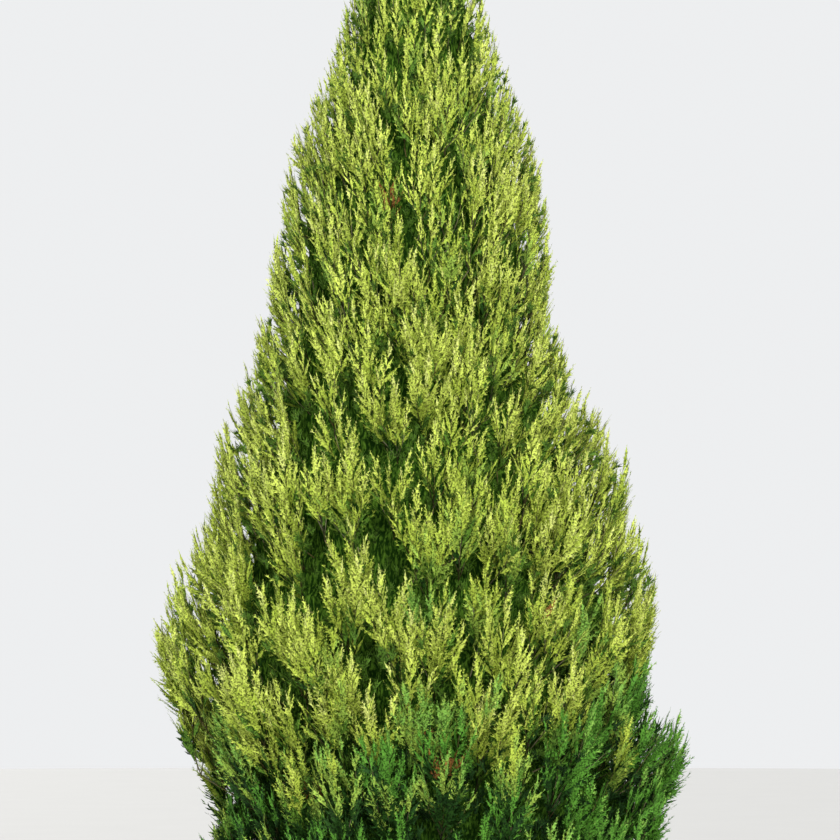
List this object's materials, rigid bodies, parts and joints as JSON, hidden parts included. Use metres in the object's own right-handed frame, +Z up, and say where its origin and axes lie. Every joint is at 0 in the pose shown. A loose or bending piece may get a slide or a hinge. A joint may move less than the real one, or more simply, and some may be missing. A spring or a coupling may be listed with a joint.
{
  "type": "cypress tree",
  "caption": "Tall, dense, pointed garden conifer rooted in the ground: a straight trunk with root flare, short rising boughs, and masses of upright golden-green scale-leaf sprays.",
  "frame": {"origin": "on the ground, at the middle of the trunk's flat cut", "axes": "+Z up the trunk; the pictured side faces -Y, so that +X is to the right in the picture"},
  "size_m": [2.6329, 2.5703, 6.25],
  "materials": {
    "trunk_bark": "fibrous, ridged bark",
    "bough_bark": "thin reddish-brown bark",
    "foliage": "scale-leaf sprays, golden at the tips and deep green inside"
  },
  "bodies": {
    "root": {"bough_crest_1": "bough_bark", "bough_crest_2": "bough_bark", "bough_crest_3": "bough_bark", "bough_crest_4": "bough_bark", "bough_lower_1": "bough_bark", "bough_lower_2": "bough_bark", "bough_lower_3": "bough_bark", "bough_lower_4": "bough_bark", "bough_lower_5": "bough_bark", "bough_lower_6": "bough_bark", "bough_middle_1": "bough_bark", "bough_middle_2": "bough_bark", "bough_middle_3": "bough_bark", "bough_middle_4": "bough_bark", "bough_middle_5": "bough_bark", "bough_middle_6": "bough_bark", "bough_skirt_1": "bough_bark", "bough_skirt_2": "bough_bark", "bough_skirt_3": "bough_bark", "bough_skirt_4": "bough_bark", "bough_skirt_5": "bough_bark", "bough_skirt_6": "bough_bark", "bough_upper_1": "bough_bark", "bough_upper_2": "bough_bark", "bough_upper_3": "bough_bark", "bough_upper_4": "bough_bark", "bough_upper_5": "bough_bark", "foliage_crest_1": "foliage", "foliage_crest_2": "foliage", "foliage_crest_3": "foliage", "foliage_crest_4": "foliage", "foliage_lower_1": "foliage", "foliage_lower_2": "foliage", "foliage_lower_3": "foliage", "foliage_lower_4": "foliage", "foliage_lower_5": "foliage", "foliage_lower_6": "foliage", "foliage_middle_1": "foliage", "foliage_middle_2": "foliage", "foliage_middle_3": "foliage", "foliage_middle_4": "foliage", "foliage_middle_5": "foliage", "foliage_middle_6": "foliage", "foliage_skirt_1": "foliage", "foliage_skirt_2": "foliage", "foliage_skirt_3": "foliage", "foliage_skirt_4": "foliage", "foliage_skirt_5": "foliage", "foliage_skirt_6": "foliage", "foliage_spire": "foliage", "foliage_upper_1": "foliage", "foliage_upper_2": "foliage", "foliage_upper_3": "foliage", "foliage_upper_4": "foliage", "foliage_upper_5": "foliage", "trunk": "trunk_bark"}
  },
  "joints": []
}
